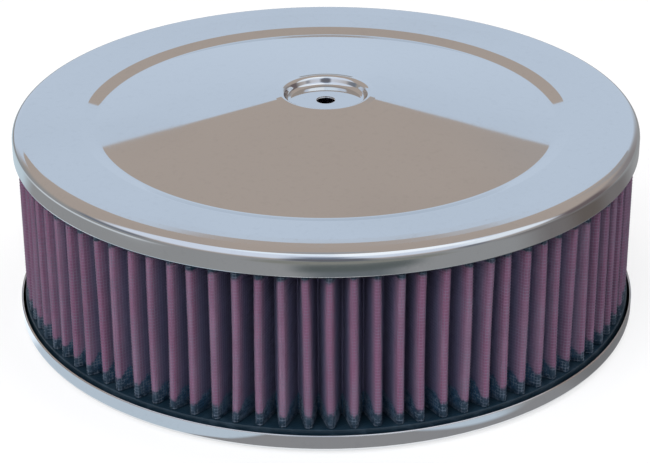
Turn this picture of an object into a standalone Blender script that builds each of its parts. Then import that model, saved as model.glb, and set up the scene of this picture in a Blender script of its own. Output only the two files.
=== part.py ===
"""Round open-element flame arrestor: a pressed lid, a pleated gauze and wire element, and a pressed base.

Everything is in metres, +Z up. The origin is the middle of the base's underside, on the axis that all
the pieces share. The base stands on its flat floor at Z = 0, the element stands in the base's rim, and
the lid lies on the element.
"""

import math

import bmesh
import bpy
from mathutils import Matrix, Vector

MM = 0.001

# Fits between pieces
FIT_GAP = 0.3 * MM
LAYER_GAP = 0.3 * MM
LID_SIDE_CLEARANCE = 0.8 * MM
BASE_SIDE_CLEARANCE = 1.7 * MM

# Element: pleated gauze between two wire screens, with a moulded ring at each end
ELEMENT_HEIGHT = 114.0 * MM
ELEMENT_TIP_RADIUS = 175.9 * MM
PLEAT_COUNT = 90
FIRST_CREST_ANGLE = math.radians(-1.5)
PLEAT_DEPTH = 18.0 * MM
FOLD_RADIUS = 1.3 * MM
GAUZE_THICKNESS = 0.8 * MM
SCREEN_THICKNESS = 0.4 * MM
END_RING_OVERHANG = 0.2 * MM
LOWER_RING_HEIGHT = 12.2 * MM
UPPER_RING_HEIGHT = 11.8 * MM

# Lid, pressed from sheet
LID_SHEET = 0.9 * MM
LID_SKIRT_STRAIGHT = 7.9 * MM
LID_SHOULDER_RADIUS = 5.4 * MM
LID_RING_INSIDE_ELEMENT = 20.7 * MM
LID_RING_DROP = 0.9 * MM
LID_STEP_DEPTH = 3.6 * MM
LID_STEP_RUN = 5.1 * MM
LID_STEP_FILLET = 2.0 * MM
LID_CONE_RISE = 17.6 * MM
HUB_LIP_RADIUS = 25.0 * MM
HUB_LIP_FILLET = 1.6 * MM
POCKET_DEPTH = 5.2 * MM
POCKET_WALL_RUN = 4.3 * MM
POCKET_FILLET = 1.5 * MM
STUD_HOLE_RADIUS = 5.25 * MM

# Base, pressed from sheet
BASE_SHEET = 0.9 * MM
BASE_RIM_STRAIGHT = 5.8 * MM
BASE_CORNER_RADIUS = 5.3 * MM
BASE_FLOOR_INSIDE_ELEMENT = 7.7 * MM
BASE_STEP_HEIGHT = 4.0 * MM
BASE_STEP_RUN = 1.8 * MM
BASE_FILLET = 2.0 * MM
BASE_PAN_RISE = 4.0 * MM
NECK_BORE_RADIUS = 65.1 * MM
NECK_DEPTH = 6.0 * MM
GASKET_LAND_WIDTH = 14.0 * MM

# Gasket under the base, round the neck
GASKET_WIDTH = 10.0 * MM
GASKET_THICKNESS = 3.0 * MM

# Number of flats round a turned piece, and points in the bends
ROUND_STEPS = 40
SHOULDER_POINTS = 4
WIDE_BEND_POINTS = 3
TIGHT_BEND_POINTS = 2
SMOOTH_ANGLE = math.radians(40)

# A fillet takes at most these shares of a side between two fillets and of a side at an open end
SHARED_SIDE = 0.49
END_SIDE = 0.98

# Radii where the pieces meet
RING_OUTER = ELEMENT_TIP_RADIUS + END_RING_OVERHANG
RING_INNER = ELEMENT_TIP_RADIUS - PLEAT_DEPTH - END_RING_OVERHANG
LID_RADIUS = RING_OUTER + LID_SIDE_CLEARANCE + LID_SHEET
BASE_RIM_RADIUS = RING_OUTER + BASE_SIDE_CLEARANCE + BASE_SHEET
NECK_RADIUS = NECK_BORE_RADIUS + BASE_SHEET

# Heights where the pieces meet
BASE_FLOOR_TOP = BASE_SHEET
ELEMENT_BOTTOM = BASE_FLOOR_TOP + FIT_GAP
ELEMENT_TOP = ELEMENT_BOTTOM + ELEMENT_HEIGHT
LID_RING_TOP = ELEMENT_TOP + FIT_GAP + LID_SHEET
PLEAT_BOTTOM = ELEMENT_BOTTOM + LOWER_RING_HEIGHT + FIT_GAP
PLEAT_TOP = ELEMENT_TOP - UPPER_RING_HEIGHT - FIT_GAP


def clear_scene():
    """Removes every object of the start-up scene."""
    for obj in list(bpy.data.objects):
        bpy.data.objects.remove(obj, do_unlink=True)


def new_collection(name):
    """Adds a collection to the scene."""
    collection = bpy.data.collections.new(name)
    bpy.context.scene.collection.children.link(collection)
    return collection


def new_material(name, colour, roughness, metallic):
    """A Principled material with one colour."""
    material = bpy.data.materials.new(name)
    material.use_nodes = True
    shader = material.node_tree.nodes["Principled BSDF"]
    shader.inputs["Base Color"].default_value = (*colour, 1.0)
    shader.inputs["Roughness"].default_value = roughness
    shader.inputs["Metallic"].default_value = metallic
    material.diffuse_color = (*colour, 1.0)
    return material


def new_object(name, mesh, material, collection):
    """Wraps a mesh in an object with its material."""
    mesh.materials.append(material)
    obj = bpy.data.objects.new(name, mesh)
    collection.objects.link(obj)
    return obj


def bend(before, corner, after, radius, points, shares):
    """The points of the arc that rounds one corner of an outline, from the side before it."""
    to_before = Vector(before[:2]) - Vector(corner[:2])
    to_after = Vector(after[:2]) - Vector(corner[:2])
    half = to_before.angle(to_after) / 2
    room = min(shares[0] * to_before.length, shares[1] * to_after.length)
    setback = min(radius / math.tan(half), room)
    middle = (to_before.normalized() + to_after.normalized()).normalized()
    centre = Vector(corner[:2]) + middle * (setback / math.cos(half))
    start = Vector(corner[:2]) + to_before.normalized() * setback - centre
    end = Vector(corner[:2]) + to_after.normalized() * setback - centre
    turn = math.atan2(start.cross(end), start.dot(end))
    arc = []
    for index in range(points):
        step = Matrix.Rotation(turn * index / (points - 1), 2) @ start
        arc.append(tuple(centre + step))
    return arc


def rounded_outline(corners):
    """An open outline of (radius, height, fillet, bend points) corners with its fillets as arcs.

    A corner given as (radius, height) alone stays sharp.
    """
    outline = [corners[0][:2]]
    last = len(corners) - 2
    for index in range(1, last + 1):
        before, corner, after = corners[index - 1:index + 2]
        if len(corner) == 2:
            outline.append(corner)
            continue
        shares = (END_SIDE if index == 1 else SHARED_SIDE, END_SIDE if index == last else SHARED_SIDE)
        outline += bend(before, corner, after, corner[2], corner[3], shares)
    outline.append(corners[-1][:2])
    return outline


def outline_mesh(name, outline, closed):
    """A wire of (radius, height) points in the XZ plane, ready for a Screw modifier."""
    edges = [(index, index + 1) for index in range(len(outline) - 1)]
    if closed:
        edges.append((len(outline) - 1, 0))
    mesh = bpy.data.meshes.new(name)
    mesh.from_pydata([(radius, 0.0, height) for radius, height in outline], edges, [])
    return mesh


def add_turn(obj):
    """Turns an outline about Z."""
    screw = obj.modifiers.new("Turn", "SCREW")
    screw.axis = "Z"
    screw.angle = math.tau
    screw.steps = ROUND_STEPS
    screw.render_steps = ROUND_STEPS
    screw.use_merge_vertices = True
    screw.merge_threshold = 0.00001
    screw.use_smooth_shade = True


def pressed_sheet(name, corners, sheet, material, collection):
    """A thin pressed shell: an open outline turned about Z and thickened away from its seen side."""
    obj = new_object(name, outline_mesh(name, rounded_outline(corners), closed=False), material, collection)
    add_turn(obj)
    thicken = obj.modifiers.new("Sheet", "SOLIDIFY")
    thicken.thickness = sheet
    thicken.offset = -1.0
    thicken.use_even_offset = True
    return obj


def turned_ring(name, outline, material, collection):
    """A solid ring: a closed outline turned about Z."""
    obj = new_object(name, outline_mesh(name, outline, closed=True), material, collection)
    add_turn(obj)
    return obj


def build_top_plate(material, collection):
    """The lid: skirt, shoulder, ring, step, shallow cone, hub lip and pocket with the stud hole.

    The ring is flat where it lies on the element and falls slightly from there to the step.
    """
    step_radius = RING_INNER - LID_RING_INSIDE_ELEMENT
    step_top = LID_RING_TOP - LID_RING_DROP
    cone_foot = step_top - LID_STEP_DEPTH
    lip_top = cone_foot + LID_CONE_RISE
    floor_radius = HUB_LIP_RADIUS - POCKET_WALL_RUN
    floor_height = lip_top - POCKET_DEPTH
    corners = [
        (LID_RADIUS, LID_RING_TOP - LID_SHOULDER_RADIUS - LID_SKIRT_STRAIGHT),
        (LID_RADIUS, LID_RING_TOP, LID_SHOULDER_RADIUS, SHOULDER_POINTS),
        (RING_INNER, LID_RING_TOP),
        (step_radius, step_top, LID_STEP_FILLET, TIGHT_BEND_POINTS),
        (step_radius - LID_STEP_RUN, cone_foot, LID_STEP_FILLET, TIGHT_BEND_POINTS),
        (HUB_LIP_RADIUS, lip_top, HUB_LIP_FILLET, TIGHT_BEND_POINTS),
        (floor_radius, floor_height, POCKET_FILLET, TIGHT_BEND_POINTS),
        (STUD_HOLE_RADIUS, floor_height),
    ]
    corners.reverse()
    return pressed_sheet("top_plate", corners, LID_SHEET, material, collection)


def build_base_plate(material, collection):
    """The base: upturned rim, flat floor that it stands on, step, shallow pan and turned-down neck."""
    floor_inner = RING_INNER - BASE_FLOOR_INSIDE_ELEMENT
    land_height = BASE_STEP_HEIGHT + BASE_PAN_RISE
    corners = [
        (BASE_RIM_RADIUS, BASE_CORNER_RADIUS + BASE_RIM_STRAIGHT),
        (BASE_RIM_RADIUS, 0.0, BASE_CORNER_RADIUS, WIDE_BEND_POINTS),
        (floor_inner, 0.0, BASE_FILLET, TIGHT_BEND_POINTS),
        (floor_inner - BASE_STEP_RUN, BASE_STEP_HEIGHT, BASE_FILLET, TIGHT_BEND_POINTS),
        (NECK_RADIUS + GASKET_LAND_WIDTH, land_height, BASE_FILLET, TIGHT_BEND_POINTS),
        (NECK_RADIUS, land_height, BASE_FILLET, TIGHT_BEND_POINTS),
        (NECK_RADIUS, land_height - NECK_DEPTH),
    ]
    return pressed_sheet("base_plate", corners, BASE_SHEET, material, collection)


def build_neck_gasket(material, collection):
    """The flat gasket that lies against the base's land, round the neck."""
    inner = NECK_RADIUS + BASE_FILLET
    top = BASE_STEP_HEIGHT + BASE_PAN_RISE - FIT_GAP
    bottom = top - GASKET_THICKNESS
    outline = [
        (inner + GASKET_WIDTH, top),
        (inner + GASKET_WIDTH, bottom),
        (inner, bottom),
        (inner, top),
    ]
    return turned_ring("neck_gasket", outline, material, collection)


def build_lower_ring(material, collection):
    """The moulded ring at the element's foot, chamfered to clear the base's rounded corner."""
    chamfer = RING_OUTER - (BASE_RIM_RADIUS - BASE_CORNER_RADIUS)
    top = ELEMENT_BOTTOM + LOWER_RING_HEIGHT
    outline = [
        (RING_OUTER, top),
        (RING_OUTER, ELEMENT_BOTTOM + chamfer),
        (RING_OUTER - chamfer, ELEMENT_BOTTOM),
        (RING_INNER, ELEMENT_BOTTOM),
        (RING_INNER, top),
    ]
    return turned_ring("lower_end_ring", outline, material, collection)


def build_upper_ring(material, collection):
    """The moulded ring at the element's head, chamfered to clear the lid's rounded shoulder."""
    chamfer = RING_OUTER - (LID_RADIUS - LID_SHOULDER_RADIUS)
    bottom = ELEMENT_TOP - UPPER_RING_HEIGHT
    outline = [
        (RING_OUTER - chamfer, ELEMENT_TOP),
        (RING_OUTER, ELEMENT_TOP - chamfer),
        (RING_OUTER, bottom),
        (RING_INNER, bottom),
        (RING_INNER, ELEMENT_TOP),
    ]
    return turned_ring("upper_end_ring", outline, material, collection)


def folded_loop(offset, crest_points, root_points):
    """One level of a pleated sheet: a closed loop of (x, y) points, offset outwards from the mid layer.

    Each pleat is a crest arc and a root arc of FOLD_RADIUS at the mid layer, joined by straight legs
    that touch both. A parallel layer keeps the arcs' centres and the legs' slope.
    """
    stack = GAUZE_THICKNESS / 2 + LAYER_GAP + SCREEN_THICKNESS
    crest_centre = ELEMENT_TIP_RADIUS - stack - FOLD_RADIUS
    root_centre = ELEMENT_TIP_RADIUS - PLEAT_DEPTH + stack + FOLD_RADIUS
    half_pitch = math.pi / PLEAT_COUNT
    across = root_centre * math.sin(half_pitch)
    along = crest_centre - root_centre * math.cos(half_pitch)
    lean = math.atan2(across, along) - math.asin(2 * FOLD_RADIUS / math.hypot(across, along))
    bend_angle = math.pi / 2 - lean
    loop = []
    for pleat in range(PLEAT_COUNT):
        middle = FIRST_CREST_ANGLE + 2 * half_pitch * pleat
        crest = (middle, crest_centre, offset + FOLD_RADIUS, bend_angle)
        root = (middle + half_pitch, root_centre, offset - FOLD_RADIUS, bend_angle - half_pitch)
        loop += fold_points(*crest, crest_points)
        loop += fold_points(*root, root_points)
    return loop


def fold_points(middle, centre_radius, fold_radius, bend_angle, count):
    """The points of one fold's arc, each in the middle of an equal share of the bend."""
    points = []
    for index in range(count):
        angle = bend_angle * (2 * index + 1 - count) / count
        if fold_radius < 0:
            angle = -angle
        radius = centre_radius + fold_radius * math.cos(angle)
        side = fold_radius * math.sin(angle)
        points.append((
            radius * math.cos(middle) - side * math.sin(middle),
            radius * math.sin(middle) + side * math.cos(middle),
        ))
    return points


def pleated_sheet(name, offset, thickness, crest_points, material, collection):
    """A closed pleated wall between the end rings, joined from its outer and inner face loops."""
    outer = folded_loop(offset + thickness / 2, crest_points, TIGHT_BEND_POINTS)
    inner = folded_loop(offset - thickness / 2, crest_points, TIGHT_BEND_POINTS)
    shape = bmesh.new()
    corners = ((outer, PLEAT_TOP), (outer, PLEAT_BOTTOM), (inner, PLEAT_BOTTOM), (inner, PLEAT_TOP))
    levels = [[shape.verts.new((x, y, height)) for x, y in loop] for loop, height in corners]
    count = len(outer)
    for first, second in zip(levels, levels[1:] + levels[:1]):
        for index in range(count):
            following = (index + 1) % count
            shape.faces.new((first[index], second[index], second[following], first[following]))
    mesh = bpy.data.meshes.new(name)
    shape.to_mesh(mesh)
    shape.free()
    return new_object(name, mesh, material, collection)


def build_pleats(gauze, wire, collection):
    """The gauze and the wire screens folded with it, one outside and one inside."""
    beside = GAUZE_THICKNESS / 2 + LAYER_GAP + SCREEN_THICKNESS / 2
    pleated_sheet("outer_screen", beside, SCREEN_THICKNESS, WIDE_BEND_POINTS, wire, collection)
    pleated_sheet("pleated_gauze", 0.0, GAUZE_THICKNESS, TIGHT_BEND_POINTS, gauze, collection)
    pleated_sheet("inner_screen", -beside, SCREEN_THICKNESS, TIGHT_BEND_POINTS, wire, collection)


def main():
    """Builds the whole arrestor."""
    clear_scene()
    collection = new_collection("flame_arrestor")
    chrome = new_material("chrome_plate", (0.72, 0.74, 0.76), 0.06, 1.0)
    gauze = new_material("oiled_gauze", (0.19, 0.06, 0.12), 0.85, 0.0)
    wire = new_material("coated_wire", (0.30, 0.13, 0.20), 0.55, 0.3)
    moulding = new_material("moulded_ring", (0.015, 0.022, 0.03), 0.5, 0.0)
    rubber = new_material("gasket_rubber", (0.02, 0.02, 0.02), 0.8, 0.0)
    turned = [
        build_top_plate(chrome, collection),
        build_base_plate(chrome, collection),
        build_neck_gasket(rubber, collection),
        build_lower_ring(moulding, collection),
        build_upper_ring(moulding, collection),
    ]
    build_pleats(gauze, wire, collection)
    for obj in turned:
        obj.data.shade_smooth()
        obj.data.set_sharp_from_angle(angle=SMOOTH_ANGLE)


main()
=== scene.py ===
"""Looks of a round flame arrestor: chromed lid and base round a pleated, oiled gauze element.

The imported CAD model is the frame. Every size here is in metres, in the frame's own axes: +Z runs along
the axis from the base to the lid, and the camera looks along +Y.
"""

import cmath
import logging
import math
import random
from dataclasses import dataclass, field
from enum import Enum

import bpy
import numpy as np
from mathutils import Euler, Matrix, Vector


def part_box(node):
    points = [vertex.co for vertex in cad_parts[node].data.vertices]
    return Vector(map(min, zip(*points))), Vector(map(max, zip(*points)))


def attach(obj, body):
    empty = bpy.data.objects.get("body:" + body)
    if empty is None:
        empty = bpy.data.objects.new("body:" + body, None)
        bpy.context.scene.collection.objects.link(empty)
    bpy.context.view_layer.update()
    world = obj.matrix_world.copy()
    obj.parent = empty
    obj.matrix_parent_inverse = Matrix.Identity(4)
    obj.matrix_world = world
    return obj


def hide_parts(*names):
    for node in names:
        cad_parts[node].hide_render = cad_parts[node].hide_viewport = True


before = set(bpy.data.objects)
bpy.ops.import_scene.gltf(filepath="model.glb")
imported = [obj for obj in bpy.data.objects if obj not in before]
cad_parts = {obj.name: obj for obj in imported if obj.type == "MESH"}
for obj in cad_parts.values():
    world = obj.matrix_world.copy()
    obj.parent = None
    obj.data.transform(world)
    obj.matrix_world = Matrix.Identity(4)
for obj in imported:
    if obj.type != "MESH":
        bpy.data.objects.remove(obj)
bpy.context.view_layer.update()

MM = 0.001
BODY = "root"
LOG = logging.getLogger("flame_arrestor")

Colour = tuple[float, float, float]
Place = tuple[float, float, float]
Point = tuple[float, float]


class Slot(Enum):
    """The record's material slots."""

    CHROME = "chrome_plate"
    GAUZE = "oiled_gauze"
    WIRE = "coated_wire"
    MOULDING = "moulded_ring"
    RUBBER = "gasket_rubber"


class Signal:
    """One number in a shader. Python's operators on it add the Math nodes."""

    def __init__(self, graph: "Graph", socket: bpy.types.NodeSocket) -> None:
        """Wraps an output socket of a graph."""
        self.graph = graph
        self.socket = socket

    def math(self, operation: str, *values: "Signal | float") -> "Signal":
        """Adds one Math node with these inputs, in order, and gives its result."""
        node = self.graph.add("ShaderNodeMath", {"operation": operation}, dict(enumerate(values)))
        return Signal(self.graph, node.outputs[0])

    def __add__(self, other: "Signal | float") -> "Signal":
        """Adds a number."""
        return self.math("ADD", self, other)

    def __radd__(self, other: float) -> "Signal":
        """Adds to a number."""
        return self.math("ADD", other, self)

    def __sub__(self, other: "Signal | float") -> "Signal":
        """Takes a number away."""
        return self.math("SUBTRACT", self, other)

    def __rsub__(self, other: float) -> "Signal":
        """Takes this away from a number."""
        return self.math("SUBTRACT", other, self)

    def __mul__(self, other: "Signal | float") -> "Signal":
        """Multiplies by a number."""
        return self.math("MULTIPLY", self, other)

    def __rmul__(self, other: float) -> "Signal":
        """Multiplies a number."""
        return self.math("MULTIPLY", other, self)

    def __truediv__(self, other: "Signal | float") -> "Signal":
        """Divides by a number."""
        return self.math("DIVIDE", self, other)

    def __rtruediv__(self, other: float) -> "Signal":
        """Divides a number by this."""
        return self.math("DIVIDE", other, self)

    def __neg__(self) -> "Signal":
        """Turns the sign round."""
        return self.math("MULTIPLY", self, -1.0)

    def sine(self) -> "Signal":
        """The sine of this angle in radians."""
        return self.math("SINE", self)

    def root(self) -> "Signal":
        """The square root of this number."""
        return self.math("SQRT", self)

    def larger(self, other: "Signal | float") -> "Signal":
        """The larger of two numbers."""
        return self.math("MAXIMUM", self, other)

    def rising(self, low: float, high: float) -> "Signal":
        """A smooth step.

        Args:
            low: Where the step starts, at 0.
            high: Where the step ends, at 1.

        Returns:
            The step's height, from 0 to 1.
        """
        settings = {"interpolation_type": "SMOOTHSTEP", "clamp": True}
        inputs = {"Value": self, "From Min": low, "From Max": high}
        node = self.graph.add("ShaderNodeMapRange", settings, inputs)
        return Signal(self.graph, node.outputs["Result"])

    def between(self, low: float, high: float, soft: float) -> "Signal":
        """A plateau of 1 from low to high, with 0 round it and edges that reach soft to either side."""
        return self.rising(low - soft, low + soft) * (1.0 - self.rising(high - soft, high + soft))


class Graph:
    """The node tree of one material or of the world."""

    def __init__(self, tree: bpy.types.NodeTree) -> None:
        """Takes a node tree and empties it."""
        self.tree = tree
        tree.nodes.clear()

    def add(self, kind: str, settings: dict | None = None, inputs: dict | None = None) -> bpy.types.Node:
        """Adds one node.

        Args:
            kind: Blender's name of the node's type.
            settings: The node's own settings, which are set first.
            inputs: Values, signals or sockets for the input sockets, by name or place.

        Returns:
            The new node.
        """
        node = self.tree.nodes.new(kind)
        for name, value in (settings or {}).items():
            setattr(node, name, value)
        for name, value in (inputs or {}).items():
            self.feed(node.inputs[name], value)
        return node

    def feed(self, socket: bpy.types.NodeSocket, value: object) -> None:
        """Sets or links one input socket.

        Args:
            socket: The input socket.
            value: A signal, an output socket, a number or a colour.
        """
        if isinstance(value, Signal):
            value = value.socket
        if isinstance(value, bpy.types.NodeSocket):
            self.tree.links.new(value, socket)
        elif socket.type == "RGBA":
            socket.default_value = (*value, 1.0)
        else:
            socket.default_value = value

    def mix(self, factor: Signal | float, first: object, second: object) -> bpy.types.NodeSocket:
        """Mixes two colours.

        Args:
            factor: The share of the second colour.
            first: The first colour or its socket.
            second: The second colour or its socket.

        Returns:
            The mixed colour's socket.
        """
        node = self.add("ShaderNodeMix", {"data_type": "RGBA"})
        colours = [socket for socket in node.inputs if socket.type == "RGBA"]
        self.feed(node.inputs[0], factor)
        self.feed(colours[0], first)
        self.feed(colours[1], second)
        return next(socket for socket in node.outputs if socket.type == "RGBA")

    def place(self) -> bpy.types.NodeSocket:
        """The object coordinates, which are the frame's metres."""
        return self.add("ShaderNodeTexCoord").outputs["Object"]

    def parts(self, vector: bpy.types.NodeSocket) -> list[Signal]:
        """The X, Y and Z of a vector."""
        node = self.add("ShaderNodeSeparateXYZ", None, {0: vector})
        return [Signal(self, socket) for socket in node.outputs]

    def stretched(self, vector: bpy.types.NodeSocket, factors: Place) -> bpy.types.NodeSocket:
        """A vector times one factor along each axis."""
        settings = {"operation": "MULTIPLY"}
        return self.add("ShaderNodeVectorMath", settings, {0: vector, 1: factors}).outputs[0]

    def noise(
        self, vector: bpy.types.NodeSocket, scale: float, detail: float = 2.0, roughness: float = 0.5
    ) -> Signal:
        """Smooth noise, about 0.5 on average, with this many lumps per metre and finer layers in them."""
        inputs = {"Vector": vector, "Scale": scale, "Detail": detail, "Roughness": roughness}
        return Signal(self, self.add("ShaderNodeTexNoise", None, inputs).outputs[0])

    def attribute(self, name: str) -> list[Signal]:
        """The parts of a vector that each point of the mesh carries."""
        return self.parts(self.add("ShaderNodeAttribute", {"attribute_name": name}).outputs["Vector"])

    def bump(self, height: Signal, distance: float) -> bpy.types.NodeSocket:
        """The bent normal of a relief whose full height of 1 stands this many metres high."""
        inputs = {"Strength": 1.0, "Distance": distance, "Height": height}
        return self.add("ShaderNodeBump", None, inputs).outputs[0]

    def principled(self, inputs: dict) -> None:
        """Ends the tree in a Principled shader with these inputs."""
        shader = self.add("ShaderNodeBsdfPrincipled", None, inputs)
        self.add("ShaderNodeOutputMaterial", None, {"Surface": shader.outputs[0]})


class Finish:
    """A finish that a maker could name. Each kind fills in paint()."""

    name = "finish"

    def paint(self, graph: Graph) -> None:
        """Adds the finish's nodes."""
        raise NotImplementedError

    def material(self) -> bpy.types.Material:
        """Makes the material.

        Returns:
            The new material.
        """
        material = bpy.data.materials.new(self.name)
        material.use_nodes = True
        self.paint(Graph(material.node_tree))
        return material


@dataclass(frozen=True)
class Mottle:
    """Soft-edged patches, where noise rises from a low to a high level."""

    per_metre: float
    low: float
    high: float
    detail: float = 2.0
    roughness: float = 0.5

    def mask(self, graph: Graph, place: bpy.types.NodeSocket) -> Signal:
        """How much of a patch lies at a place, from 0 to 1."""
        return graph.noise(place, self.per_metre, self.detail, self.roughness).rising(self.low, self.high)


@dataclass(frozen=True)
class ChromePlate(Finish):
    """Bright chrome on pressed steel, with a faint orange peel and light wipe marks."""

    name: str = "chrome_plate"
    colour: Colour = (0.74, 0.755, 0.77)
    worn_colour: Colour = (0.68, 0.695, 0.71)
    roughness: float = 0.035
    worn_roughness: float = 0.085
    ripple_height: float = 0.06 * MM
    ripples_per_metre: float = 22.0
    marks: Mottle = Mottle(240.0, 0.52, 0.72, 3.0, 0.6)
    mark_share: float = 0.35
    haze: Mottle = Mottle(9.0, 0.42, 0.68)
    haze_share: float = 0.4

    def paint(self, graph: Graph) -> None:
        """Adds the finish's nodes.

        Args:
            graph: The material's tree.
        """
        place = graph.place()
        ripple = graph.noise(place, self.ripples_per_metre, detail=1.0)
        wear = self.marks.mask(graph, place) * self.mark_share
        wear = wear + self.haze.mask(graph, place) * self.haze_share
        graph.principled({
            "Base Color": graph.mix(wear, self.colour, self.worn_colour),
            "Metallic": 1.0,
            "Roughness": wear * (self.worn_roughness - self.roughness) + self.roughness,
            "Normal": graph.bump(ripple, self.ripple_height),
        })


@dataclass(frozen=True)
class FoldDepth:
    """How deep a point lies between the pleats. The gauze and wire use it for painted shade, cool and dark,
    deep in the folds, and the compound uses it to rise higher there.
    """

    start_radius: float = 174.7 * MM
    end_radius: float = 167.8 * MM

    def mask(self, graph: Graph) -> Signal:
        """How deep a point lies in the folds.

        Args:
            graph: The material's tree.

        Returns:
            The share, from 0 on the crests to 1 deep in the folds.
        """
        x, y, _ = graph.parts(graph.place())
        radius = (x * x + y * y).root()
        return 1.0 - radius.rising(self.end_radius, self.start_radius)


@dataclass(frozen=True)
class WickedBand:
    """Where the dark moulding compound has crept into the pleats at the foot, and a dark band of the same
    colour just under the lid.
    """

    foot_height: float = 20.6 * MM
    head_height: float = 98.8 * MM
    fold_rise: float = 5.0 * MM
    wander: float = 4.0 * MM
    head_wander: float = 0.6
    edge: float = 1.2 * MM
    steps_per_metre: float = 85.0
    frays_per_metre: float = 700.0
    up_the_folds: Place = (1.0, 1.0, 0.2)
    folds: FoldDepth = FoldDepth()

    def mask(self, graph: Graph) -> Signal:
        """How much of the dark compound colour shows, at the foot and in the band under the lid.

        Args:
            graph: The material's tree.

        Returns:
            The share, from 0 to 1.
        """
        place = graph.place()
        height = graph.parts(place)[2]
        up_the_folds = graph.stretched(place, self.up_the_folds)
        steps = graph.noise(up_the_folds, self.steps_per_metre, detail=0.0) - 0.5
        fray = graph.noise(place, self.frays_per_metre, detail=1.0) - 0.5
        creep = steps * (2 * self.wander) + fray * self.wander
        rise = self.folds.mask(graph) * self.fold_rise
        foot = (height - creep - rise - self.foot_height).rising(-self.edge, self.edge)
        head = (height + creep * self.head_wander - self.head_height).rising(-self.edge, self.edge)
        return (1.0 - foot).larger(head)


@dataclass(frozen=True)
class OiledGauze(Finish):
    """Woven cotton gauze wetted with maroon oil, dark where the moulding compound has crept in at the foot
    and in a dark band just under the lid, with painted shade, cool and dark, deep in the folds and between
    the threads.
    """

    name: str = "oiled_gauze"
    oil_colour: Colour = (0.207, 0.081, 0.153)
    dry_colour: Colour = (0.234, 0.14, 0.214)
    deep_colour: Colour = (0.12, 0.055, 0.105)
    fold_shade_colour: Colour = (0.08, 0.09, 0.165)
    compound_colour: Colour = (0.014, 0.036, 0.062)
    deep_compound_colour: Colour = (0.022, 0.08, 0.16)
    threads_per_metre: float = 1250.0
    thread_height: float = 0.12 * MM
    thread_shade: float = 0.35
    strays_per_metre: float = 160.0
    stray_turn: float = 2.2
    streaks: Mottle = Mottle(240.0, 0.36, 0.66)
    along_streaks: Place = (1.0, 1.0, 0.06)
    patches: Mottle = Mottle(38.0, 0.35, 0.7)
    patch_share: float = 0.35
    fold_shade_share: float = 0.85
    roughness: float = 0.78
    compound_gloss: float = 0.36
    band: WickedBand = WickedBand()
    fold_shade: FoldDepth = FoldDepth()

    def paint(self, graph: Graph) -> None:
        """Adds the finish's nodes.

        Args:
            graph: The material's tree.
        """
        place = graph.place()
        along, height, _ = graph.attribute("lay")
        stray = graph.noise(place, self.strays_per_metre) * self.stray_turn
        turn = math.tau * self.threads_per_metre
        warp = (along * turn + stray).sine()
        weft = (height * turn + stray).sine()
        weave = (warp * weft) * 0.5 + 0.5
        streak = self.streaks.mask(graph, graph.stretched(place, self.along_streaks))
        wet = graph.mix(streak, self.oil_colour, self.dry_colour)
        wet = graph.mix(self.patches.mask(graph, place) * self.patch_share, wet, self.deep_colour)
        wet = graph.mix((1.0 - weave) * self.thread_shade, wet, self.deep_colour)
        # Painted shade: the gauze turns cool and dark deep in the folds, where shade falls between the
        # pleats.
        depth = self.fold_shade.mask(graph)
        wet = graph.mix(depth * self.fold_shade_share, wet, self.fold_shade_colour)
        set_compound = graph.mix(depth, self.compound_colour, self.deep_compound_colour)
        compound = self.band.mask(graph)
        graph.principled({
            "Base Color": graph.mix(compound, wet, set_compound),
            "Roughness": self.roughness - compound * self.compound_gloss,
            "Normal": graph.bump(weave, self.thread_height),
        })


@dataclass(frozen=True)
class CoatedWire(Finish):
    """Fine coated wire: stained by the oil, grey where it stands proud of the compound, and with painted
    shade, cool and dark, deep in the folds.
    """

    name: str = "coated_wire"
    stained_colour: Colour = (0.234, 0.14, 0.219)
    bare_colour: Colour = (0.16, 0.20, 0.26)
    film_colour: Colour = (0.016, 0.04, 0.068)
    fold_shade_colour: Colour = (0.095, 0.105, 0.185)
    fold_shade_share: float = 0.8
    smears: Mottle = Mottle(420.0, 0.42, 0.6)
    worn: Mottle = Mottle(130.0, 0.3, 0.7)
    worn_share: float = 0.5
    metallic: float = 0.25
    roughness: float = 0.5
    film_gloss: float = 0.1
    band: WickedBand = WickedBand()
    fold_shade: FoldDepth = FoldDepth()

    def paint(self, graph: Graph) -> None:
        """Adds the finish's nodes.

        Args:
            graph: The material's tree.
        """
        place = graph.place()
        compound = self.band.mask(graph)
        proud = graph.mix(self.smears.mask(graph, place), self.bare_colour, self.film_colour)
        worn = self.worn.mask(graph, place) * self.worn_share
        stained = graph.mix(worn, self.stained_colour, self.bare_colour)
        # Painted shade: the wire turns cool and dark deep in the folds.
        stained = graph.mix(self.fold_shade.mask(graph) * self.fold_shade_share, stained, self.fold_shade_colour)
        graph.principled({
            "Base Color": graph.mix(compound, stained, proud),
            "Metallic": self.metallic,
            "Roughness": self.roughness - compound * self.film_gloss,
        })


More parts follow.
